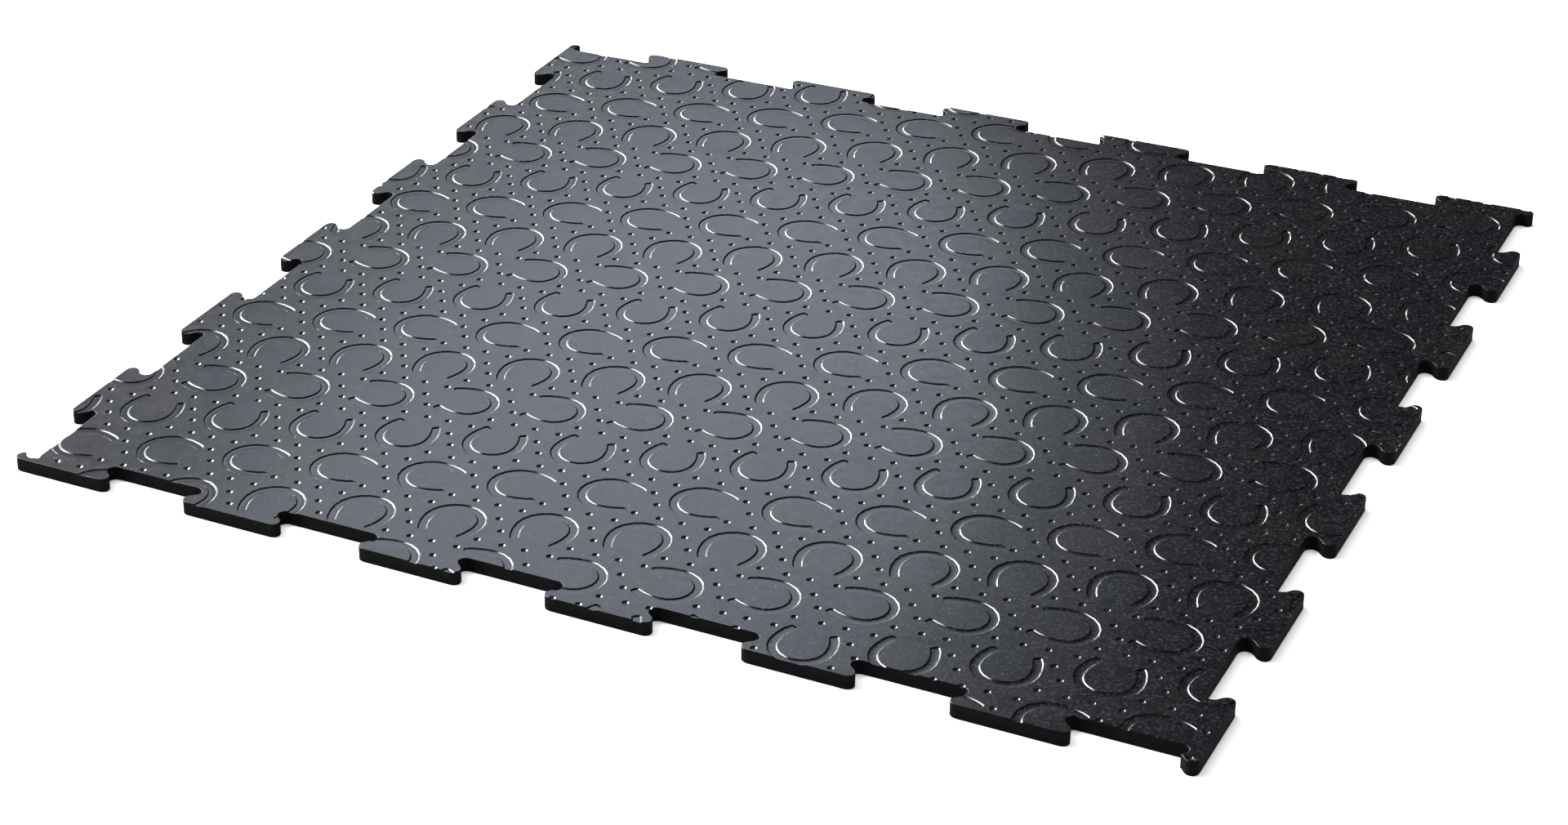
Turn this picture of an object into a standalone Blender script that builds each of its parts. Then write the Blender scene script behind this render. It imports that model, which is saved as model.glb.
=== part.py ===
"""Interlocking rubber stable mat, one moulded slab, lying flat.

Units are metres and +Z is up. The origin is in the middle of the flat underside, and the top is
at THICKNESS. The front edge faces -Y and the left edge faces -X. The right edge is the left edge
moved by one laid size, and the back edge is the front edge moved the same way, so each mat's
tabs fill the recesses of the mat beside it.
"""
import math

import bmesh
import bpy
from mathutils import Matrix, Vector

# The slab
LAID_SIZE = 1.000            # the square of floor that one mat covers, tabs and recesses evened out
THICKNESS = 0.012

# The dovetail edge
TABS_PER_SIDE = 6
TAB_DEPTH = 0.0245           # from the bottom of a recess to the face of a tab
TAB_CORNER_RADIUS = 0.006    # of a tab's corners and of a recess's corners
TAB_UNDERCUT = 0.0042        # a tab's side bulges this far past its middle line, and its neck draws in as far
CORNER_OFFSET = 0.0025       # the first flank of each side lies this far before the square's corner
ARC_STEPS = 3                # straight facets in each corner of a tab or recess

# The horseshoe grooves in the top
MOTIF_SPACING = 0.0755       # between the middles of neighbouring horseshoes, on a triangular grid
GRID_TURN = math.radians(15)
GRID_START = Vector((-0.007, -0.0035))
SHOE_RADIUS = 0.0225         # the toe's arc, on the middle line of the groove
BRANCH_RADIUS = 2 * SHOE_RADIUS
BRANCH_SWEEP = math.radians(31.5)
GROOVE_WIDTH = 0.008
GROOVE_DEPTH = 0.0010
TOE_LEAD = math.radians(8)   # the toe's facets start this far round from the widest line
OUTER_STEPS = 4              # facets in the outer side of the toe
INNER_STEPS = 3              # facets in its inner side
QUARTER_TURN = math.pi / 2

# How far the cutters reach past what they cut
TRIM_MARGIN = 0.030
CUTTER_MARGIN = 0.002
REACH = LAID_SIZE / 2 + TRIM_MARGIN

RUBBER_COLOUR = (0.022, 0.023, 0.026, 1.0)
RUBBER_ROUGHNESS = 0.55


def clear_scene():
    """Remove every object, so the file holds the mat alone."""
    for thing in list(bpy.data.objects):
        bpy.data.objects.remove(thing, do_unlink=True)


def arc(middle, radius, start, sweep, steps):
    """Points along an arc in the plane, ends included."""
    return [
        middle + radius * Vector((math.cos(start + sweep * i / steps), math.sin(start + sweep * i / steps)))
        for i in range(steps + 1)
    ]


def falling_flank(along):
    """The side of a tab, from its face down to the bottom of the recess after it.

    A point is (distance along the side, distance outwards). The tab's corner bulges forwards and
    the recess's corner is the same curve turned half round, with a slanted straight between them.
    """
    centre = Vector((TAB_UNDERCUT - TAB_CORNER_RADIUS, TAB_DEPTH / 2 - TAB_CORNER_RADIUS))
    towards_middle = math.atan2(-centre.y, -centre.x)
    end = towards_middle + math.acos(TAB_CORNER_RADIUS / centre.length)
    corner = arc(centre, TAB_CORNER_RADIUS, QUARTER_TURN, end - QUARTER_TURN, ARC_STEPS)
    hollow = [-point for point in reversed(corner)]
    return [Vector((along, 0)) + point for point in corner + hollow]


def rising_flank(along):
    """The side of a tab, from the bottom of the recess before it up to its face."""
    return [Vector((2 * along - point.x, point.y)) for point in reversed(falling_flank(along))]


def edge_line(starts_in_tab):
    """One side's dovetail line, from past one corner of the square to past the other."""
    half_pitch = LAID_SIZE / (2 * TABS_PER_SIDE)
    in_tab = starts_in_tab
    line = [Vector((-REACH, TAB_DEPTH / 2 if in_tab else -TAB_DEPTH / 2))]
    for number in range(2 * TABS_PER_SIDE + 1):
        along = -LAID_SIZE / 2 - CORNER_OFFSET + number * half_pitch
        line += falling_flank(along) if in_tab else rising_flank(along)
        in_tab = not in_tab
    line.append(Vector((REACH, TAB_DEPTH / 2 if in_tab else -TAB_DEPTH / 2)))
    return line


def signed_area(outline):
    """Area of a closed outline, positive when it runs counter-clockwise."""
    following = outline[1:] + outline[:1]
    return sum(a.x * b.y - b.x * a.y for a, b in zip(outline, following)) / 2


def add_prism(mesh, outline, low, high):
    """Add an upright prism over the outline, with its faces pointing out."""
    if signed_area(outline) < 0:
        outline = outline[::-1]
    bottom = [mesh.verts.new((point.x, point.y, low)) for point in outline]
    top = [mesh.verts.new((point.x, point.y, high)) for point in outline]
    mesh.faces.new(bottom[::-1])
    mesh.faces.new(top)
    for i, corner in enumerate(bottom):
        after = (i + 1) % len(bottom)
        mesh.faces.new((corner, bottom[after], top[after], top[i]))


def prism_object(name, outlines, low, high):
    """An object made of one prism for each outline."""
    shape = bmesh.new()
    for outline in outlines:
        add_prism(shape, outline, low, high)
    mesh = bpy.data.meshes.new(name)
    shape.to_mesh(mesh)
    shape.free()
    thing = bpy.data.objects.new(name, mesh)
    bpy.context.collection.objects.link(thing)
    return thing


def make_cutter(name, outlines, low, high):
    """A prism object that only cuts, so it is drawn as wire and never rendered."""
    cutter = prism_object(name, outlines, low, high)
    cutter.hide_render = True
    cutter.display_type = "WIRE"
    return cutter


def trim_outlines():
    """What the trimming tool takes off each side of the slab, outside the dovetail line."""
    half = LAID_SIZE / 2
    beyond = REACH + TRIM_MARGIN
    front_line = edge_line(starts_in_tab=False)
    left_line = edge_line(starts_in_tab=True)
    front = [Vector((p.x, -half - p.y)) for p in front_line]
    back = [Vector((p.x, half - p.y)) for p in front_line]
    left = [Vector((-half - p.y, p.x)) for p in left_line]
    right = [Vector((half - p.y, p.x)) for p in left_line]
    return {
        "trim_front": front + [Vector((REACH, -beyond)), Vector((-REACH, -beyond))],
        "trim_back": back + [Vector((REACH, beyond)), Vector((-REACH, beyond))],
        "trim_left": left + [Vector((-beyond, REACH)), Vector((-beyond, -REACH))],
        "trim_right": right + [Vector((beyond, REACH)), Vector((beyond, -REACH))],
    }


def shoe_side(offset, steps):
    """One side of the groove, from the tip of one branch round the toe to the other tip.

    The toe is half a circle about the middle, and each branch is an arc of twice its radius that
    carries on from it and leans inwards. The horseshoe opens towards +Y. The toe's facets lie half
    inside and half outside their circle, so the groove keeps its width.
    """
    sweep = math.pi - 2 * TOE_LEAD
    radius = (SHOE_RADIUS + offset) * 2 / (1 + math.cos(sweep / steps / 2))
    toe = arc(Vector((0, 0)), radius, math.pi + TOE_LEAD, sweep, steps)
    tip_direction = Vector((math.cos(BRANCH_SWEEP), math.sin(BRANCH_SWEEP)))
    right_tip = Vector((-SHOE_RADIUS, 0)) + (BRANCH_RADIUS + offset) * tip_direction
    left_tip = Vector((-right_tip.x, right_tip.y))
    return [left_tip] + toe + [right_tip]


def shoe_outline():
    """The groove's outline, facing up the page, with its middle at the origin."""
    outer = shoe_side(GROOVE_WIDTH / 2, OUTER_STEPS)
    inner = shoe_side(-GROOVE_WIDTH / 2, INNER_STEPS)
    return outer + inner[::-1]


def motif_places():
    """Middle and quarter turns of each horseshoe whose groove reaches the slab.

    The rows rise to the right by GRID_TURN, and each row's horseshoes are a quarter turn on from
    those of the row above it.
    """
    along_row = MOTIF_SPACING * Vector((math.cos(GRID_TURN), math.sin(GRID_TURN)))
    next_row = Matrix.Rotation(math.radians(-120), 2) @ along_row
    limit = (LAID_SIZE + TAB_DEPTH) / 2 + SHOE_RADIUS + GROOVE_WIDTH / 2
    count = math.ceil(2 * limit / MOTIF_SPACING)
    for row in range(-count, count + 1):
        for column in range(-count, count + 1):
            place = GRID_START + row * next_row + column * along_row
            if max(abs(place.x), abs(place.y)) < limit:
                yield place, -row % 4


def groove_outlines():
    """The outline of every horseshoe groove in its place."""
    outline = shoe_outline()
    shoes = []
    for place, quarters in motif_places():
        turn = Matrix.Rotation(quarters * QUARTER_TURN, 2)
        shoes.append([place + turn @ point for point in outline])
    return shoes


def rubber():
    """Black rubber with a dull sheen."""
    material = bpy.data.materials.new("black_rubber")
    material.use_nodes = True
    shader = material.node_tree.nodes["Principled BSDF"]
    shader.inputs["Base Color"].default_value = RUBBER_COLOUR
    shader.inputs["Roughness"].default_value = RUBBER_ROUGHNESS
    shader.inputs["Metallic"].default_value = 0.0
    material.diffuse_color = RUBBER_COLOUR
    return material


def make_mat():
    """The slab, trimmed to its dovetail edges and grooved on top."""
    square = [Vector((x * REACH, y * REACH)) for x, y in ((-1, -1), (1, -1), (1, 1), (-1, 1))]
    mat = prism_object("stable_mat", [square], 0.0, THICKNESS)
    mat.data.materials.append(rubber())
    below, above = -CUTTER_MARGIN, THICKNESS + CUTTER_MARGIN
    cutters = [make_cutter(name, [outline], below, above) for name, outline in trim_outlines().items()]
    groove_floor = THICKNESS - GROOVE_DEPTH
    cutters.append(make_cutter("horseshoe_grooves", groove_outlines(), groove_floor, above))
    for cutter in cutters:
        cut = mat.modifiers.new(cutter.name, "BOOLEAN")
        cut.operation = "DIFFERENCE"
        cut.solver = "EXACT"
        cut.object = cutter
    return mat


clear_scene()
make_mat()
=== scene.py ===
"""The looks of an interlocking rubber stable mat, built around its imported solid.

The mat is one moulded slab. The scene replaces the plain solid with a finer one: the same
dovetail edge with rounder corners and a softened rim, horseshoe grooves with sloped walls and
round ends, and the small round dimples between them. All sizes are in metres, +Z is up, and the
front edge faces -Y.
"""
import logging
import math
from collections.abc import Callable, Iterable
from dataclasses import dataclass, field
from enum import Enum

import bpy
from mathutils import Matrix, Quaternion, Vector


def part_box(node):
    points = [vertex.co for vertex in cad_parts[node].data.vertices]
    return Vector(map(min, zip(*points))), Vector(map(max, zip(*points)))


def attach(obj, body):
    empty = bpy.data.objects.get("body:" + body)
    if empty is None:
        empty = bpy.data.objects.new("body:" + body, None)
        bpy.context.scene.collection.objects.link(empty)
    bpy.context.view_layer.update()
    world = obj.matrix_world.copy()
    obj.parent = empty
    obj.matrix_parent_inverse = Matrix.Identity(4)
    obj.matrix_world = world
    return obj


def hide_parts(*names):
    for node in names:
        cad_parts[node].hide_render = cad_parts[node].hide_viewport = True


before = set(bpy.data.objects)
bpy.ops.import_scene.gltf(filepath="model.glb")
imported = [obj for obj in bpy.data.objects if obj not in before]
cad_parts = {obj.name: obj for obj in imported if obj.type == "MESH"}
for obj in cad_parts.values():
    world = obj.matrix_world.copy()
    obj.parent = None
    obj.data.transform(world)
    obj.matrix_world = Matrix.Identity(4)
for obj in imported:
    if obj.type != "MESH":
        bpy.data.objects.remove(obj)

LOG = logging.getLogger("stable_mat")
NODE = "stable_mat"
BODY = "root"
# Places closer than this, in metres, count as one
NEAR = 1e-5
# A direction counts as along an axis when this much of its unit length is along it
ALONG = 0.9
# Faces that bend by less than this, in radians, count as one flat face
FLAT = math.radians(0.5)
# The bevel profile of a quarter circle
ROUND = 0.5
Point = tuple[float, float, float]
Colour = tuple[float, float, float, float]
Feed = bpy.types.NodeSocket | float | Colour
MeshTest = Callable[[Vector, Vector], bool]
WHITE: Point = (1.0, 1.0, 1.0)
COOL_WHITE: Point = (0.80, 0.87, 1.0)


class SelectMode(Enum):
    """What edit mode picks."""

    VERTICES = "VERT"
    EDGES = "EDGE"
    FACES = "FACE"


class Workbench:
    """The few steps of modelling by hand that every piece of the mat shares."""

    @staticmethod
    def clear_selection() -> None:
        """Deselect every object, because operators act on all that is selected."""
        bpy.ops.object.select_all(action="DESELECT")

    @classmethod
    def focus(cls, thing: bpy.types.Object) -> None:
        """Select one object alone and make it the active one.

        Args:
            thing: The object to work on.
        """
        cls.clear_selection()
        thing.select_set(True)
        bpy.context.view_layer.objects.active = thing

    @classmethod
    def add_block(cls, name: str, low: Point, high: Point) -> bpy.types.Object:
        """Add a block between two corners.

        Args:
            name: The object's name.
            low: Its lowest corner.
            high: Its highest corner.

        Returns:
            The block, with its size in its mesh.
        """
        cls.clear_selection()
        middle = (Vector(low) + Vector(high)) / 2
        bpy.ops.mesh.primitive_cube_add(size=1, location=middle)
        block = bpy.context.object
        block.name = name
        block.scale = Vector(high) - Vector(low)
        bpy.ops.object.transform_apply(location=True, rotation=True, scale=True)
        return block

    @classmethod
    def pick(cls, thing: bpy.types.Object, mode: SelectMode, test: MeshTest) -> None:
        """Select vertices, edges or faces by their place and direction, in edit mode.

        Args:
            thing: The object whose mesh is picked from. It is left in edit mode.
            mode: Whether vertices, edges or faces are picked.
            test: Says yes or no from an element's middle and its direction, which is a face's
                normal, an edge's direction or a vertex's normal.
        """
        cls.focus(thing)
        bpy.ops.object.mode_set(mode="EDIT")
        bpy.ops.mesh.select_mode(type=mode.value)
        bpy.ops.mesh.select_all(action="DESELECT")
        bpy.ops.object.mode_set(mode="OBJECT")
        mesh = thing.data
        if mode is SelectMode.FACES:
            picked = [face for face in mesh.polygons if test(face.center, face.normal)]
        elif mode is SelectMode.EDGES:
            picked = [edge for edge in mesh.edges if test(*cls.middle_and_direction(mesh, edge))]
        else:
            picked = [corner for corner in mesh.vertices if test(corner.co, corner.normal)]
        for element in picked:
            element.select = True
        bpy.ops.object.mode_set(mode="EDIT")

    @classmethod
    def pick_all(cls, thing: bpy.types.Object) -> None:
        """Select every face, in edit mode.

        Args:
            thing: The object whose mesh is picked from. It is left in edit mode.
        """
        cls.pick(thing, SelectMode.FACES, lambda middle, normal: True)

    @staticmethod
    def middle_and_direction(
        mesh: bpy.types.Mesh, edge: bpy.types.MeshEdge
    ) -> tuple[Vector, Vector]:
        """Return an edge's middle and its unit direction."""
        start, end = (mesh.vertices[i].co for i in edge.vertices)
        return (start + end) / 2, (end - start).normalized()

    @staticmethod
    def leave_edit_mode() -> None:
        """Return to object mode."""
        bpy.ops.object.mode_set(mode="OBJECT")

    @classmethod
    def slice_across(cls, thing: bpy.types.Object, point: Point, normal: Point) -> None:
        """Cut new edges round a mesh where a plane crosses it, with nothing taken away.

        Args:
            thing: The object to slice.
            point: A point of the plane.
            normal: The plane's normal.
        """
        cls.pick_all(thing)
        bpy.ops.mesh.bisect(plane_co=point, plane_no=normal, clear_inner=False, clear_outer=False)
        cls.leave_edit_mode()

    @classmethod
    def merge_flat_faces(cls, thing: bpy.types.Object) -> None:
        """Dissolve the edges between faces that lie in one plane."""
        cls.pick_all(thing)
        bpy.ops.mesh.dissolve_limited(angle_limit=FLAT)
        cls.leave_edit_mode()

    @classmethod
    def copy_of(cls, thing: bpy.types.Object, name: str, place: Matrix) -> bpy.types.Object:
        """Copy an object with a mesh of its own, and move the copy.

        Args:
            thing: The object to copy.
            name: The copy's name.
            place: Where the copy goes, from where the first one is.

        Returns:
            The copy, with its place in its mesh.
        """
        cls.focus(thing)
        bpy.ops.object.duplicate(linked=False)
        copy = bpy.context.object
        copy.name = name
        copy.matrix_world = place @ copy.matrix_world
        bpy.ops.object.transform_apply(location=True, rotation=True, scale=True)
        return copy

    @classmethod
    def join(cls, things: Iterable[bpy.types.Object], name: str) -> bpy.types.Object:
        """Join objects into one.

        Args:
            things: The objects, of which the first takes up the others.
            name: The joined object's name.

        Returns:
            The joined object.
        """
        things = list(things)
        cls.focus(things[0])
        for thing in things:
            thing.select_set(True)
        bpy.ops.object.join()
        joined = bpy.context.object
        joined.name = name
        return joined

    @classmethod
    def cut_away(cls, thing: bpy.types.Object, cutter: bpy.types.Object) -> None:
        """Take one object's shape out of another, and throw the cutter away.

        Args:
            thing: The object that is cut.
            cutter: The shape that is taken out of it.
        """
        cls.focus(thing)
        cut = thing.modifiers.new("cut", "BOOLEAN")
        cut.operation = "DIFFERENCE"
        cut.solver = "EXACT"
        cut.object = cutter
        bpy.ops.object.modifier_apply(modifier=cut.name)
        bpy.data.objects.remove(cutter)


@dataclass
class DovetailTrimmer:
    """The shape that trims one side of the mat: a bar with a row of dovetail tabs.

    It is the edge of the neighbouring mat. Its flat sides lie where the mat's tab faces end, and
    its tabs reach in to the bottoms of the mat's recesses.
    """

    laid_size: float = 1.000
    tabs_per_side: int = 6
    tab_depth: float = 0.0245
    corner_radius: float = 0.006
    undercut: float = 0.0042
    corner_offset: float = 0.0025
    corner_segments: int = 7
    bar_width: float = 0.050
    reach: float = 0.004

    @property
    def half_pitch(self) -> float:
        """Return the mean width of a tab, which is also that of a recess."""
        return self.laid_size / (2 * self.tabs_per_side)

    @property
    def flank_lean(self) -> float:
        """Return how far a flank leans from square, in radians.

        The flank is the common tangent of a tab's corner arc and a recess's corner arc.
        """
        across = self.corner_radius - self.undercut
        out = self.tab_depth / 2 - self.corner_radius
        return math.atan2(out, across) - math.acos(self.corner_radius / math.hypot(across, out))

    @property
    def flare(self) -> float:
        """Return how far a flank's sharp corner lies beyond the flank's middle."""
        return math.tan(self.flank_lean) * self.tab_depth / 2

    @property
    def half_corner(self) -> float:
        """Return half of the angle between a flank and a tab's face, in radians."""
        return (math.pi / 2 - self.flank_lean) / 2

    @property
    def bevel_width(self) -> float:
        """Return how far the corner's arc starts before its sharp corner."""
        return self.corner_radius / math.tan(self.half_corner)

    @property
    def bevel_profile(self) -> float:
        """Return the bevel's profile that makes the middle of the corner's curve a circle's."""
        return (1 - 0.5 / (1 + math.sin(self.half_corner))) ** 2

    @property
    def end_margin(self) -> float:
        """Return how far the trimmer goes on past the middles of its outermost tabs."""
        return 1.5 * self.half_pitch

    def tab_middles(self) -> list[float]:
        """Return the middles of the trimmer's tabs, with one more past the left end.

        The mat's side starts with a tab, which is half a pitch wide, so the middle of its first
        recess lies one and a half of these widths past its first flank.
        """
        first = -self.laid_size / 2 - self.corner_offset + 1.5 * self.half_pitch
        return [first + 2 * number * self.half_pitch for number in range(-1, self.tabs_per_side)]

    def build(self, low: float, high: float) -> bpy.types.Object:
        """Model the trimmer for the front side.

        Args:
            low: The height of its underside.
            high: The height of its top.

        Returns:
            The trimmer, with its tabs pointing to +Y.
        """
        line = -(self.laid_size + self.tab_depth) / 2
        neck = self.half_pitch / 2 - self.flare
        middles = self.tab_middles()
        left = middles[0] - self.end_margin
        right = middles[-1] + self.end_margin
        bar = Workbench.add_block(
            "edge_trimmer", (left, line - self.bar_width, low), (right, line, high)
        )
        for middle in middles:
            Workbench.slice_across(bar, (middle - neck, 0, 0), (1, 0, 0))
            Workbench.slice_across(bar, (middle + neck, 0, 0), (1, 0, 0))
        self.pull_out_tabs(bar, line, middles, neck)
        Workbench.merge_flat_faces(bar)
        self.round_corners(bar, line)
        return bar

    def pull_out_tabs(
        self, bar: bpy.types.Object, line: float, middles: list[float], neck: float
    ) -> None:
        """Extrude the tabs from the bar and spread their ends to a dovetail.

        Args:
            bar: The sliced bar.
            line: Where its inner side lies along Y.
            middles: The tabs' middles along X.
            neck: Half of the width between a tab's sharp inner corners.
        """

        def on_a_tab(middle: Vector, normal: Vector) -> bool:
            """Say whether a face is the root of a tab."""
            return normal.y > ALONG and min(abs(middle.x - tab) for tab in middles) < NEAR

        Workbench.pick(bar, SelectMode.FACES, on_a_tab)
        bpy.ops.mesh.extrude_region_move(TRANSFORM_OT_translate={"value": (0, self.tab_depth, 0)})
        Workbench.leave_edit_mode()
        spread = (neck + 2 * self.flare) / neck
        tip = line + self.tab_depth
        for tab in middles:

            def is_this_end(middle: Vector, normal: Vector, tab: float = tab) -> bool:
                """Say whether a face is this tab's end."""
                return abs(middle.y - tip) < NEAR and abs(middle.x - tab) < NEAR

            Workbench.pick(bar, SelectMode.FACES, is_this_end)
            bpy.ops.transform.resize(value=(spread, 1, 1), center_override=(tab, tip, 0))
            Workbench.leave_edit_mode()

    def round_corners(self, bar: bpy.types.Object, line: float) -> None:
        """Round the upright corners at the tabs' ends and necks.

        Args:
            bar: The bar with its sharp tabs.
            line: Where its inner side lies along Y.
        """
        ends = (bar.bound_box[0][0], bar.bound_box[6][0])

        def is_corner(middle: Vector, direction: Vector) -> bool:
            """Say whether an edge is an upright corner of a tab."""
            upright = abs(direction.z) > ALONG
            inner = middle.y > line - NEAR
            return upright and inner and min(abs(middle.x - end) for end in ends) > NEAR

        Workbench.pick(bar, SelectMode.EDGES, is_corner)
        bpy.ops.mesh.bevel(
            offset_type="OFFSET",
            offset=self.bevel_width,
            segments=self.corner_segments,
            profile=self.bevel_profile,
            affect="EDGES",
            clamp_overlap=False,
        )
        Workbench.leave_edit_mode()

    def places(self) -> dict[str, Matrix]:
        """Return where each side's trimmer goes, from the front one.

        The back edge is the front edge moved back by the laid size, so its trimmer is the front
        one turned half round and slid along until its tabs meet the recesses.
        """
        slide = -2 * self.corner_offset
        return {
            "front": Matrix.Identity(4),
            "back": Matrix.Translation((slide, 0, 0)) @ Matrix.Rotation(math.pi, 4, "Z"),
            "left": Matrix.Translation((0, slide, 0)) @ Matrix.Rotation(-math.pi / 2, 4, "Z"),
            "right": Matrix.Rotation(math.pi / 2, 4, "Z"),
        }


@dataclass
class HorseshoeCutter:
    """The shape that is pressed into the top to leave one horseshoe groove."""

    toe_radius: float = 0.0225
    branch_sweep: float = math.radians(31.5)
    toe_segments: int = 10
    branch_segments: int = 3
    # Percent of the end's width, and of the last stretch's length, that each rounded corner takes
    tip_rounding: float = 36.0
    tip_segments: int = 3
    # The least upright part of the direction of an edge that runs down the groove's wall
    wall_slope: float = 0.3
    # Height above the mat's top, and half of the groove's width at that height
    levels: tuple[tuple[float, float], ...] = (
        (0.0004, 0.0049),
        (-0.0002, 0.0038),
        (-0.0008, 0.0032),
        (-0.0010, 0.0027),
    )

    def build(self, top: float) -> bpy.types.Object:
        """Model the cutter with the middle of its toe at the origin, opening towards +Y.

        Args:
            top: The height of the mat's top.

        Returns:
            The cutter.
        """
        blade = self.profile(top)
        self.sweep_profile(blade)
        self.round_tips(blade)
        return blade

    def profile(self, top: float) -> bpy.types.Object:
        """Model the groove's section as an upright face at the right end of the toe.

        Args:
            top: The height of the mat's top.

        Returns:
            The face, across the X axis.
        """
        Workbench.clear_selection()
        heights = [top + height for height, _ in self.levels]
        middle = Vector((self.toe_radius, 0, (heights[0] + heights[-1]) / 2))
        bpy.ops.mesh.primitive_plane_add(size=1, location=middle, rotation=(math.pi / 2, 0, 0))
        blade = bpy.context.object
        blade.name = "horseshoe_cutter"
        blade.scale = (2 * self.levels[0][1], heights[0] - heights[-1], 1)
        bpy.ops.object.transform_apply(location=True, rotation=True, scale=True)
        for height in heights[1:-1]:
            Workbench.slice_across(blade, (0, 0, height), (0, 0, 1))
        for height, (_, half_width) in zip(heights[1:], self.levels[1:]):
            Workbench.pick(
                blade,
                SelectMode.VERTICES,
                lambda place, normal, height=height: abs(place.z - height) < NEAR,
            )
            squeeze = half_width / self.levels[0][1]
            bpy.ops.transform.resize(value=(squeeze, 1, 1), center_override=tuple(middle))
            Workbench.leave_edit_mode()
        return blade

    def sweep_profile(self, blade: bpy.types.Object) -> None:
        """Spin the section round the toe and then along each branch.

        Each branch's arc has twice the toe's radius, so its centre lies on the far side of the toe.

        Args:
            blade: The section.
        """
        Workbench.pick_all(blade)
        self.spin(math.pi, (0, 0, 0), self.toe_segments)
        self.spin(self.branch_sweep, (self.toe_radius, 0, 0), self.branch_segments)
        Workbench.leave_edit_mode()

        def is_start(middle: Vector, normal: Vector) -> bool:
            """Say whether a face is the section that the spin started from."""
            return middle.x > 0 and abs(middle.y) < NEAR and abs(normal.y) > ALONG

        Workbench.pick(blade, SelectMode.FACES, is_start)
        self.spin(-self.branch_sweep, (-self.toe_radius, 0, 0), self.branch_segments)
        bpy.ops.mesh.select_all(action="SELECT")
        bpy.ops.mesh.remove_doubles(threshold=NEAR)
        bpy.ops.mesh.normals_make_consistent(inside=False)
        Workbench.leave_edit_mode()

    @staticmethod
    def spin(angle: float, centre: Point, steps: int) -> None:
        """Spin the selection about an upright axis.

        Args:
            angle: How far to turn, in radians.
            centre: A point of the axis.
            steps: How many straight stretches the arc has.
        """
        bpy.ops.mesh.spin(steps=steps, dupli=False, angle=angle, center=centre, axis=(0, 0, 1))

    def round_tips(self, blade: bpy.types.Object) -> None:
        """Round the upright corners at the two ends of the groove.

        Args:
            blade: The swept cutter.
        """
        start = math.sin(self.branch_sweep) * 2 * self.toe_radius - self.levels[0][1]

        def is_end_corner(middle: Vector, direction: Vector) -> bool:
            """Say whether an edge runs down a side of an end."""
            return abs(direction.z) > self.wall_slope and middle.y > start

        Workbench.pick(blade, SelectMode.EDGES, is_end_corner)
        bpy.ops.mesh.bevel(
            offset_type="PERCENT",
            offset_pct=self.tip_rounding,
            segments=self.tip_segments,
            profile=ROUND,
            affect="EDGES",
            clamp_overlap=False,
        )
        Workbench.leave_edit_mode()


@dataclass
class DimpleCutter:
    """The shape that is pressed into the top to leave one small round dimple."""

    sides: int = 8
    # Height above the mat's top, and the dimple's radius at that height
    levels: tuple[tuple[float, float], ...] = (
        (0.0004, 0.0038),
        (-0.0002, 0.0028),
        (-0.0008, 0.0018),
        (-0.0012, 0.0009),
    )

    def build(self, top: float, place: Vector) -> bpy.types.Object:
        """Model the cutter, from a disc that is extruded down and drawn in.

        Args:
            top: The height of the mat's top.
            place: The dimple's middle in plan.

        Returns:
            The cutter.
        """
        Workbench.clear_selection()
        middle = Vector((place.x, place.y, top + self.levels[0][0]))
        bpy.ops.mesh.primitive_circle_add(
            vertices=self.sides, radius=self.levels[0][1], fill_type="NGON", location=middle
        )
        pit = bpy.context.object
        pit.name = "dimple_cutter"
        bpy.ops.object.transform_apply(location=True, rotation=True, scale=True)
        Workbench.pick_all(pit)
        for (above, wide), (below, narrow) in zip(self.levels, self.levels[1:]):
            bpy.ops.mesh.extrude_region_move(
                TRANSFORM_OT_translate={"value": (0, 0, below - above)}
            )
            bpy.ops.transform.resize(
                value=(narrow / wide, narrow / wide, 1), center_override=tuple(middle)
            )
        bpy.ops.mesh.select_all(action="SELECT")
        bpy.ops.mesh.normals_make_consistent(inside=False)
        Workbench.leave_edit_mode()
        return pit


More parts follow.
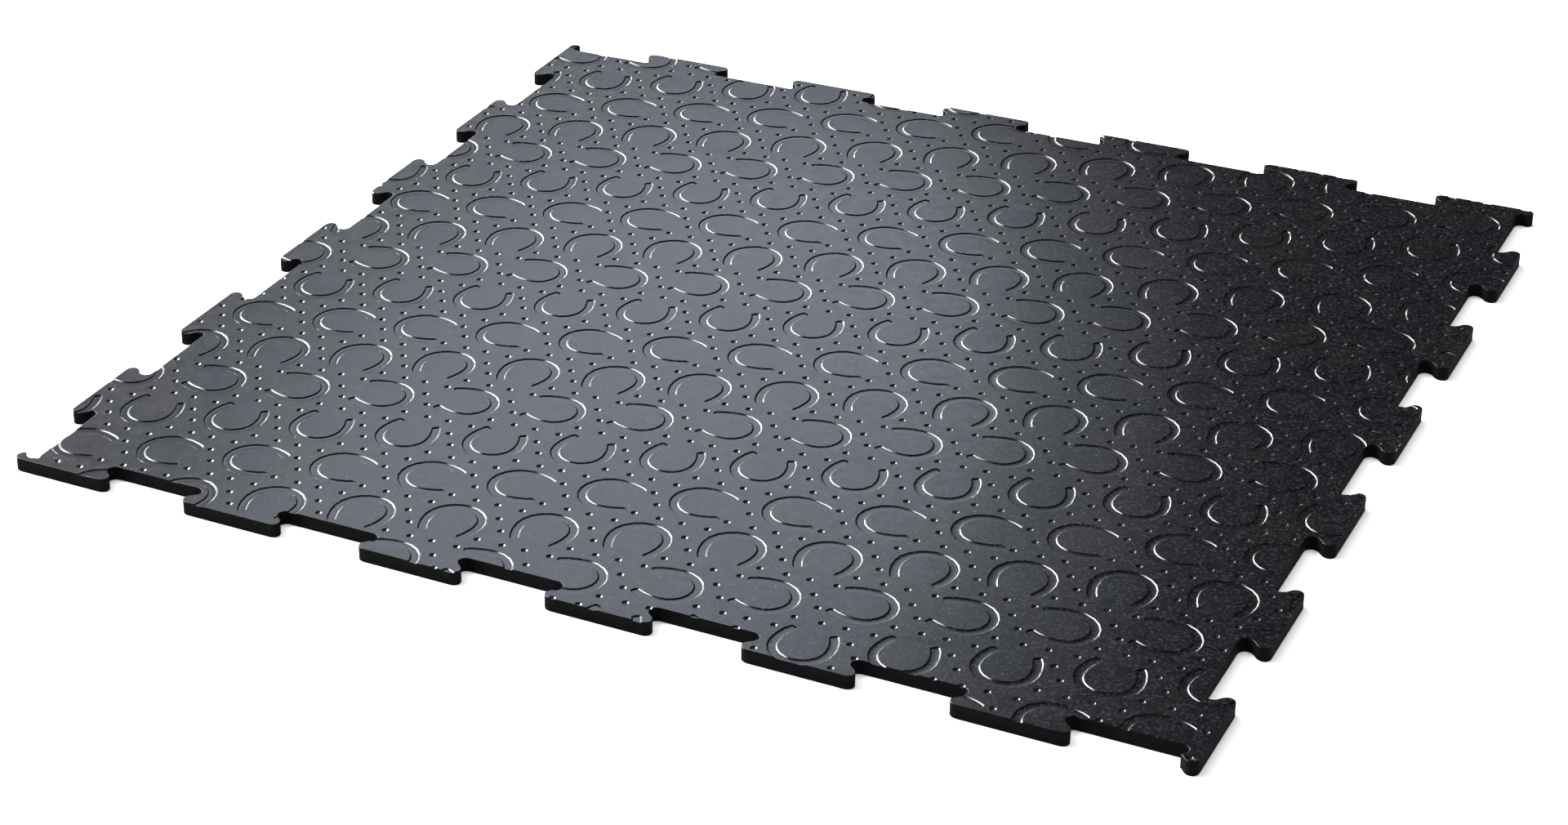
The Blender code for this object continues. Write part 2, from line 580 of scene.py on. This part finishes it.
@dataclass
class HorseshoePattern:
    """The pattern in the top: horseshoes on a triangular grid, each in a ring of six dimples."""

    spacing: float = 0.0755
    turn: float = math.radians(15)
    # From the direction along a row to the direction of the next row
    row_turn: float = math.radians(-120)
    start: tuple[float, float] = (-0.007, -0.0035)
    ring_radius: float = 0.036
    ring_count: int = 6
    horseshoe: HorseshoeCutter = field(default_factory=HorseshoeCutter)
    dimple: DimpleCutter = field(default_factory=DimpleCutter)

    def along_row(self) -> Vector:
        """Return the step from one motif to the next in its row."""
        return Vector((math.cos(self.turn), math.sin(self.turn), 0)) * self.spacing

    def next_row(self) -> Vector:
        """Return the step from one row down to the next."""
        return Matrix.Rotation(self.row_turn, 3, "Z") @ self.along_row()

    def steps_across(self, limit: float) -> int:
        """Return how many steps reach across the mat, from one side's limit to the other's."""
        return math.ceil(2 * limit / self.spacing)

    def motif(self, top: float, quarters: int) -> bpy.types.Object:
        """Model one horseshoe and its ring of dimples.

        Args:
            top: The height of the mat's top.
            quarters: How many quarter turns the horseshoe is turned by. The ring stays as it is.

        Returns:
            The motif's cutter, with its middle at the origin.
        """
        shoe = self.horseshoe.build(top)
        quarter_turns = Matrix.Rotation(quarters * math.pi / 2, 4, "Z")
        turned = Workbench.copy_of(shoe, "turned_horseshoe", quarter_turns)
        bpy.data.objects.remove(shoe)
        first = self.dimple.build(top, Vector((0, self.ring_radius)))
        turns = [number * math.tau / self.ring_count for number in range(1, self.ring_count)]
        dimples = [
            Workbench.copy_of(first, "dimple", Matrix.Rotation(turn, 4, "Z")) for turn in turns
        ]
        return Workbench.join([turned, first, *dimples], "motif")

    def row_of(
        self, motif: bpy.types.Object, number: int, limit: float
    ) -> bpy.types.Object | None:
        """Copy a motif along one row, as far as the mat reaches.

        Args:
            motif: The cutter of the row's motif, at the origin.
            number: The row's number, counted down from the one through the start.
            limit: How far from the middle of the mat a motif may lie.

        Returns:
            The row's cutter, or nothing where the row misses the mat.
        """
        count = self.steps_across(limit)
        origin = Vector((*self.start, 0)) + number * self.next_row()
        places = [origin + column * self.along_row() for column in range(-count, count + 1)]
        inside = [place for place in places if max(abs(place.x), abs(place.y)) < limit]
        if not inside:
            return None
        row = Workbench.copy_of(motif, "row", Matrix.Translation(inside[0]))
        repeat = row.modifiers.new("along_row", "ARRAY")
        repeat.count = len(inside)
        repeat.use_relative_offset = False
        repeat.use_constant_offset = True
        repeat.constant_offset_displace = self.along_row()
        repeat.use_merge_vertices = False
        Workbench.focus(row)
        bpy.ops.object.modifier_apply(modifier=repeat.name)
        return row

    def build(self, top: float, half_size: float) -> bpy.types.Object:
        """Model the cutter of the whole pattern.

        Args:
            top: The height of the mat's top.
            half_size: From the mat's middle to its outermost faces.

        Returns:
            The joined cutter of every horseshoe and dimple that reaches the mat.
        """
        limit = half_size + self.ring_radius
        count = self.steps_across(limit)
        motifs = [self.motif(top, quarters) for quarters in range(4)]
        rows = [
            self.row_of(motifs[-number % len(motifs)], number, limit)
            for number in range(-count, count + 1)
        ]
        for motif in motifs:
            bpy.data.objects.remove(motif)
        return Workbench.join([row for row in rows if row], "pattern_cutter")


@dataclass
class StableMat:
    """The whole mat: a rubber slab, trimmed to its dovetail edges and patterned on top."""

    rim_rounding: float = 0.0004
    rim_segments: int = 2
    spare: float = 0.012
    smooth_angle: float = math.radians(50)
    # How much the large faces outweigh the small ones beside them when normals are smoothed
    flat_face_weight: int = 80
    # The upward part of the normal of the steepest face that has the top's finish
    steepest_top_face: float = 0.45
    # The upward part of the normal of the steepest face that has the underside's finish
    steepest_underside_face: float = -0.99
    trimmer: DovetailTrimmer = field(default_factory=DovetailTrimmer)
    pattern: HorseshoePattern = field(default_factory=HorseshoePattern)

    def build(self, low: Vector, high: Vector) -> bpy.types.Object:
        """Model the mat in the space its solid holds.

        Args:
            low: The solid's lowest corner.
            high: The solid's highest corner.

        Returns:
            The mat's object.
        """
        slab = Workbench.add_block(
            "interlocking_mat",
            (low.x - self.spare, low.y - self.spare, low.z),
            (high.x + self.spare, high.y + self.spare, high.z),
        )
        self.trim_edges(slab, low, high)
        self.soften_rims(slab, low, high)
        cutter = self.pattern.build(high.z, high.x)
        LOG.info("pattern cutter: %d faces", len(cutter.data.polygons))
        Workbench.cut_away(slab, cutter)
        self.smooth(slab)
        return slab

    def trim_edges(self, slab: bpy.types.Object, low: Vector, high: Vector) -> None:
        """Trim all four sides with copies of one trimmer.

        Args:
            slab: The square slab.
            low: The solid's lowest corner.
            high: The solid's highest corner.
        """
        reach = self.trimmer.reach
        first = self.trimmer.build(low.z - reach, high.z + reach)
        for side, place in self.trimmer.places().items():
            Workbench.cut_away(slab, Workbench.copy_of(first, f"{side}_trimmer", place))
        bpy.data.objects.remove(first)

    def soften_rims(self, slab: bpy.types.Object, low: Vector, high: Vector) -> None:
        """Round the rims of the top and the underside a little.

        Args:
            slab: The trimmed slab.
            low: The solid's lowest corner.
            high: The solid's highest corner.
        """
        Workbench.merge_flat_faces(slab)
        for height in (low.z, high.z):
            Workbench.pick(
                slab,
                SelectMode.EDGES,
                lambda middle, direction, height=height: abs(middle.z - height) < NEAR,
            )
            bpy.ops.mesh.bevel(
                offset_type="OFFSET",
                offset=self.rim_rounding,
                segments=self.rim_segments,
                profile=ROUND,
                affect="EDGES",
                clamp_overlap=False,
            )
            Workbench.leave_edit_mode()

    def smooth(self, slab: bpy.types.Object) -> None:
        """Shade the curved walls smoothly and keep the large flat faces flat."""
        Workbench.focus(slab)
        bpy.ops.object.shade_smooth_by_angle(angle=self.smooth_angle)
        weigh = slab.modifiers.new("flat_faces", "WEIGHTED_NORMAL")
        weigh.mode = "FACE_AREA"
        weigh.weight = self.flat_face_weight
        weigh.keep_sharp = True
        bpy.ops.object.modifier_apply(modifier=weigh.name)

    def dress(self, slab: bpy.types.Object) -> None:
        """Give the top, the upright sides and the underside their finishes.

        Args:
            slab: The finished mat.
        """
        for finish in (MouldedTop(), CutEdgeWithPaintedShade(), PlainUnderside()):
            slab.data.materials.append(finish.material())

        def is_side(middle: Vector, normal: Vector) -> bool:
            """Say whether a face belongs to the mat's upright sides and their rims."""
            return self.steepest_underside_face < normal.z < self.steepest_top_face

        def is_underside(middle: Vector, normal: Vector) -> bool:
            """Say whether a face belongs to the underside."""
            return normal.z <= self.steepest_underside_face

        for slot, test in ((1, is_side), (2, is_underside)):
            Workbench.pick(slab, SelectMode.FACES, test)
            slab.active_material_index = slot
            bpy.ops.object.material_slot_assign()
            Workbench.leave_edit_mode()


class Shader:
    """A rubber or floor material under construction, with its node tree at hand."""

    def __init__(self, name: str) -> None:
        """Start a material with the object's own coordinates ready.

        Args:
            name: The material's name.
        """
        self.material = bpy.data.materials.new(name)
        self.material.use_nodes = True
        self.nodes = self.material.node_tree.nodes
        self.links = self.material.node_tree.links
        self.surface = self.nodes["Principled BSDF"]
        self.place = self.nodes.new("ShaderNodeTexCoord").outputs["Object"]

    def set_constant(self, socket: str, value: float | Colour) -> None:
        """Set one of the surface's own values."""
        self.surface.inputs[socket].default_value = value

    def feed(self, socket: bpy.types.NodeSocket, value: Feed) -> None:
        """Link a socket to another node, or give it a plain value."""
        if isinstance(value, bpy.types.NodeSocket):
            self.links.new(value, socket)
        else:
            socket.default_value = value

    def noise(self, size: float, detail: float) -> bpy.types.NodeSocket:
        """Return soft noise between 0 and 1.

        Args:
            size: How large its lumps are, in metres.
            detail: How many finer layers it has.
        """
        node = self.nodes.new("ShaderNodeTexNoise")
        self.feed(node.inputs["Vector"], self.place)
        node.inputs["Scale"].default_value = 1 / size
        node.inputs["Detail"].default_value = detail
        return node.outputs["Fac"]

    def height(self) -> bpy.types.NodeSocket:
        """Return the height above the object's origin."""
        node = self.nodes.new("ShaderNodeSeparateXYZ")
        self.feed(node.inputs["Vector"], self.place)
        return node.outputs["Z"]

    def mix(
        self, factor: Feed, first: Feed, second: Feed, kind: str = "FLOAT"
    ) -> bpy.types.NodeSocket:
        """Return a value between two values, or a colour between two colours.

        Args:
            factor: How far it lies from the first to the second, from 0 to 1.
            first: The first value or colour.
            second: The second value or colour.
            kind: FLOAT for values and RGBA for colours.
        """
        node = self.nodes.new("ShaderNodeMix")
        node.data_type = kind
        self.feed(node.inputs["Factor"], factor)
        self.feed(node.inputs["A"], first)
        self.feed(node.inputs["B"], second)
        return node.outputs["Result"]

    def span(
        self, value: Feed, low: float, high: float, bottom: float = 0.0, top: float = 1.0
    ) -> bpy.types.NodeSocket:
        """Spread the part of a value between two levels over a new span, and clamp it.

        Args:
            value: What is spread.
            low: The level that becomes the bottom.
            high: The level that becomes the top.
            bottom: The lowest result.
            top: The highest result.
        """
        node = self.nodes.new("ShaderNodeMapRange")
        self.feed(node.inputs["Value"], value)
        levels = {"From Min": low, "From Max": high, "To Min": bottom, "To Max": top}
        for name, level in levels.items():
            node.inputs[name].default_value = level
        return node.outputs["Result"]

    def add(self, first: Feed, second: Feed) -> bpy.types.NodeSocket:
        """Return the sum of two values."""
        node = self.nodes.new("ShaderNodeMath")
        node.operation = "ADD"
        self.feed(node.inputs[0], first)
        self.feed(node.inputs[1], second)
        return node.outputs["Value"]

    def blend(self, factor: Feed, first: Feed, second: Feed) -> bpy.types.NodeSocket:
        """Return a colour between two colours."""
        return self.mix(factor, first, second, "RGBA")

    def emboss(
        self, height: Feed, depth: float, below: Feed | None = None
    ) -> bpy.types.NodeSocket:
        """Return a normal that follows a fine relief.

        Args:
            height: The relief, from 0 to 1.
            depth: The relief's depth in metres.
            below: The normal of a coarser relief under it.
        """
        node = self.nodes.new("ShaderNodeBump")
        node.inputs["Strength"].default_value = 1.0
        node.inputs["Distance"].default_value = depth
        self.feed(node.inputs["Height"], height)
        if below is not None:
            self.feed(node.inputs["Normal"], below)
        return node.outputs["Normal"]


@dataclass(frozen=True)
class MouldedTop:
    """The finish of the top: black rubber with a cool sheen, a pale mottle and sparse dust.

    Its grain is only a few thousandths of a millimetre deep, because the rubber is smooth enough
    to mirror the panels, and a deeper grain would scatter their reflections into sparkles.
    """

    cool_black: Colour = (0.0024, 0.0028, 0.0040, 1.0)
    warm_black: Colour = (0.0044, 0.0042, 0.0042, 1.0)
    pale_grain: Colour = (0.018, 0.019, 0.022, 1.0)
    dust: Colour = (0.06, 0.06, 0.06, 1.0)
    specular: float = 0.45
    smoothest: float = 0.15
    roughest: float = 0.21
    groove_roughness: float = 0.14
    # Heights between which the top's finish gives way to that of the grooves' floors
    groove_heights: tuple[float, float] = (0.0111, 0.0115)
    patch_size: float = 0.060
    blotch_size: float = 0.012
    lump_size: float = 0.0034
    lump_depth: float = 0.000008
    grain_size: float = 0.0012
    grain_depth: float = 0.000004
    mottle_size: float = 0.0028
    speck_size: float = 0.0022
    # Levels of noise between which one look gives way to the next
    tone_levels: tuple[float, float] = (0.80, 1.20)
    mottle_levels: tuple[float, float] = (0.52, 0.72)
    speck_levels: tuple[float, float] = (0.72, 0.80)
    gloss_levels: tuple[float, float] = (0.3, 0.7)

    def material(self) -> bpy.types.Material:
        """Return the finish's material."""
        shader = Shader("moulded_rubber")
        patches = shader.noise(self.patch_size, detail=4)
        blotches = shader.noise(self.blotch_size, detail=3)
        tone = shader.span(shader.add(patches, blotches), *self.tone_levels)
        rubber = shader.blend(tone, self.cool_black, self.warm_black)
        mottle = shader.span(shader.noise(self.mottle_size, detail=2), *self.mottle_levels)
        rubber = shader.blend(mottle, rubber, self.pale_grain)
        specks = shader.span(shader.noise(self.speck_size, detail=1), *self.speck_levels)
        shader.feed(shader.surface.inputs["Base Color"], shader.blend(specks, rubber, self.dust))
        gloss = shader.span(blotches, *self.gloss_levels, self.smoothest, self.roughest)
        above_grooves = shader.span(shader.height(), *self.groove_heights)
        roughness = shader.mix(above_grooves, self.groove_roughness, gloss)
        shader.feed(shader.surface.inputs["Roughness"], roughness)
        lumps = shader.emboss(shader.noise(self.lump_size, detail=2), self.lump_depth)
        grain = shader.emboss(shader.noise(self.grain_size, detail=3), self.grain_depth, lumps)
        shader.feed(shader.surface.inputs["Normal"], grain)
        shader.set_constant("Specular IOR Level", self.specular)
        return shader.material


@dataclass(frozen=True)
class MattRubber:
    """A dull rubber finish of two tones and a fine grain.

    Attributes:
        name: The material's name.
        colour: Its main colour.
        patch_colour: The colour of its patches.
        specular: How strongly it reflects.
        roughness: How dull its reflections are.
        patch_size: How large the patches are, in metres.
        patch_detail: How many finer layers their noise has.
        patch_levels: The levels of that noise between which the patches start.
        grain_size: How large the grain's lumps are, in metres.
        grain_depth: How deep the grain is, in metres.
    """

    name: str
    colour: Colour
    patch_colour: Colour
    specular: float
    roughness: float
    patch_size: float
    patch_detail: float
    patch_levels: tuple[float, float]
    grain_size: float
    grain_depth: float

    def material(self) -> bpy.types.Material:
        """Return the finish's material."""
        shader = Shader(self.name)
        patches = shader.noise(self.patch_size, self.patch_detail)
        tone = shader.span(patches, *self.patch_levels)
        colour = shader.blend(tone, self.colour, self.patch_colour)
        shader.feed(shader.surface.inputs["Base Color"], colour)
        grain = shader.emboss(shader.noise(self.grain_size, detail=3), self.grain_depth)
        shader.feed(shader.surface.inputs["Normal"], grain)
        shader.set_constant("Specular IOR Level", self.specular)
        shader.set_constant("Roughness", self.roughness)
        return shader.material


@dataclass(frozen=True)
class CutEdgeWithPaintedShade(MattRubber):
    """The finish of the upright sides: matt black rubber, coloured darker than the top to paint in
    the shade that the sides stand in.
    """

    name: str = "cut_rubber_edge_painted_shade"
    # Painted shade: darker than the top and the underside, so that the sides look unlit
    colour: Colour = (0.0012, 0.0012, 0.0013, 1.0)
    patch_colour: Colour = (0.0028, 0.0028, 0.0028, 1.0)
    specular: float = 0.07
    roughness: float = 0.85
    patch_size: float = 0.006
    patch_detail: float = 3
    patch_levels: tuple[float, float] = (0.45, 0.75)
    grain_size: float = 0.0012
    grain_depth: float = 0.00015


@dataclass(frozen=True)
class PlainUnderside(MattRubber):
    """The finish of the underside: dull black rubber with dusty patches."""

    name: str = "rubber_underside"
    colour: Colour = (0.014, 0.014, 0.015, 1.0)
    patch_colour: Colour = (0.030, 0.029, 0.027, 1.0)
    specular: float = 0.3
    roughness: float = 0.7
    patch_size: float = 0.05
    patch_detail: float = 5
    patch_levels: tuple[float, float] = (0.4, 0.7)
    grain_size: float = 0.0016
    grain_depth: float = 0.00012


@dataclass(frozen=True)
class PlainFloor:
    """A plain pale floor under the mat."""

    size: float = 14.0
    gap: float = 0.0002
    colour: Colour = (0.9, 0.9, 0.9, 1.0)

    def build(self, height: float) -> None:
        """Make the floor.

        Args:
            height: The height of the mat's underside.
        """
        Workbench.clear_selection()
        bpy.ops.mesh.primitive_plane_add(size=self.size, location=(0, 0, height - self.gap))
        floor = bpy.context.object
        floor.name = "floor"
        shader = Shader("pale_floor")
        shader.set_constant("Base Color", self.colour)
        shader.set_constant("Roughness", 1.0)
        shader.set_constant("Specular IOR Level", 0.0)
        floor.data.materials.append(shader.material)


class PanelShape(Enum):
    """The outline of a light's panel."""

    RECTANGLE = "RECTANGLE"
    ELLIPSE = "ELLIPSE"

    @property
    def cover(self) -> float:
        """Return how much of the rectangle round it the outline covers."""
        return math.pi / 4 if self is PanelShape.ELLIPSE else 1.0


@dataclass(frozen=True)
class SoftLight:
    """One studio light: a large glowing panel far from the mat, which faces its middle.

    Attributes:
        name: The light's name.
        azimuth: Its direction from the mat, from +Y towards -X, in degrees.
        elevation: Its height above the horizon, in degrees.
        size: The width and height of its panel, in metres.
        glow: How bright its surface looks, in watts per square metre and steradian.
        colour: The colour of its light.
        shape: The outline of its panel.
        roll: How far its panel is turned in its own plane, clockwise from the mat, in degrees.
        mirrored: Whether glossy surfaces show it.
        distance: How far it is from the mat's middle, in metres.
    """

    name: str
    azimuth: float
    elevation: float
    size: tuple[float, float]
    glow: float
    colour: Point = WHITE
    shape: PanelShape = PanelShape.RECTANGLE
    roll: float = 0.0
    mirrored: bool = True
    distance: float = 10.0

    @property
    def power(self) -> float:
        """Return the panel's power in watts, with its glow the same in every direction."""
        return self.glow * math.pi * self.size[0] * self.size[1] * self.shape.cover

    def build(self) -> None:
        """Add the light to the scene."""
        Workbench.clear_selection()
        azimuth, elevation = math.radians(self.azimuth), math.radians(self.elevation)
        away = Vector(
            (
                -math.sin(azimuth) * math.cos(elevation),
                math.cos(azimuth) * math.cos(elevation),
                math.sin(elevation),
            )
        )
        bpy.ops.object.light_add(type="AREA", location=away * self.distance)
        lamp = bpy.context.object
        lamp.name = self.name
        lamp.data.shape = self.shape.value
        lamp.data.size, lamp.data.size_y = self.size
        lamp.data.energy = self.power
        lamp.data.color = self.colour
        lamp.visible_glossy = self.mirrored
        facing = (-away).to_track_quat("-Z", "Y")
        turned = facing @ Quaternion((0, 0, 1), math.radians(self.roll))
        lamp.rotation_euler = turned.to_euler()


@dataclass(frozen=True)
class Studio:
    """The lights and the dim room round them.

    The camera looks at azimuth 30 and down at about 28 degrees, so the flat rubber mirrors what
    lies there at that elevation: the faint sheen and halo panels. The bright key, low and bridge
    panels lie beside and below it, and from there they show only in the walls of the grooves and
    dimples. The fill panel lightens the floor's shadows, and no glossy surface shows it.
    """

    room_brightness: float = 0.02
    lights: tuple[SoftLight, ...] = (
        SoftLight("key_panel", 82, 37, (10.6, 4.4), 26.0, roll=30),
        SoftLight("low_panel", 38.5, 5.6, (4.6, 1.2), 18.0),
        SoftLight("bridge_panel", 53, 14.5, (2.0, 2.2), 18.0),
        SoftLight("sheen_panel", 29.6, 31.6, (4.1, 2.4), 1.55, COOL_WHITE, PanelShape.ELLIPSE, 42),
        SoftLight("halo_panel", 32, 28.5, (5.4, 3.7), 0.70, COOL_WHITE, PanelShape.ELLIPSE),
        SoftLight("fill_panel", 0, 90, (14.0, 14.0), 3.0, mirrored=False),
    )

    def build(self) -> None:
        """Hang the lights and dim the room."""
        for light in self.lights:
            light.build()
        world = bpy.data.worlds.new("dim_room")
        world.use_nodes = True
        backdrop = world.node_tree.nodes["Background"]
        backdrop.inputs["Color"].default_value = (1, 1, 1, 1)
        backdrop.inputs["Strength"].default_value = self.room_brightness
        bpy.context.scene.world = world
        bpy.context.scene.view_settings.view_transform = "Standard"


@dataclass(frozen=True)
class StudioCamera:
    """The camera at the photograph's viewing angle.

    Attributes:
        place: The camera's place, from fitting the mat's four edges in the photograph.
        aim: The point of the floor on the lens's axis.
        roll: How far the camera is turned about its own axis, counter-clockwise from behind it.
        focal_length: For a sensor 36 mm wide.
        shift: How far the picture's middle lies right of the axis, in picture widths.
    """

    place: Point = (1.0423, -2.4131, 1.3332)
    aim: Point = (-0.1980, -0.2490, 0.0)
    roll: float = math.radians(-1.78)
    focal_length: float = 75.85
    shift: float = 0.1875

    def build(self) -> None:
        """Add the camera and make it the scene's camera."""
        Workbench.clear_selection()
        bpy.ops.object.camera_add(location=self.place)
        camera = bpy.context.object
        camera.name = "studio_camera"
        camera.data.lens = self.focal_length
        camera.data.shift_x = self.shift
        view = Vector(self.aim) - Vector(self.place)
        turn = view.to_track_quat("-Z", "Y") @ Quaternion((0, 0, 1), self.roll)
        camera.rotation_euler = turn.to_euler()
        bpy.context.scene.camera = camera


def main() -> None:
    """Build the mat, its floor, its lights and the camera."""
    logging.basicConfig(level=logging.INFO, format="%(name)s: %(message)s")
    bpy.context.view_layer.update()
    low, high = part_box(NODE)
    design = StableMat()
    mat = design.build(low, high)
    design.dress(mat)
    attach(mat, BODY)
    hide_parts(NODE)
    mat.data.calc_loop_triangles()
    LOG.info("mat: %d triangles", len(mat.data.loop_triangles))
    PlainFloor().build(low.z)
    Studio().build()
    StudioCamera().build()


if __name__ == "__main__":
    main()
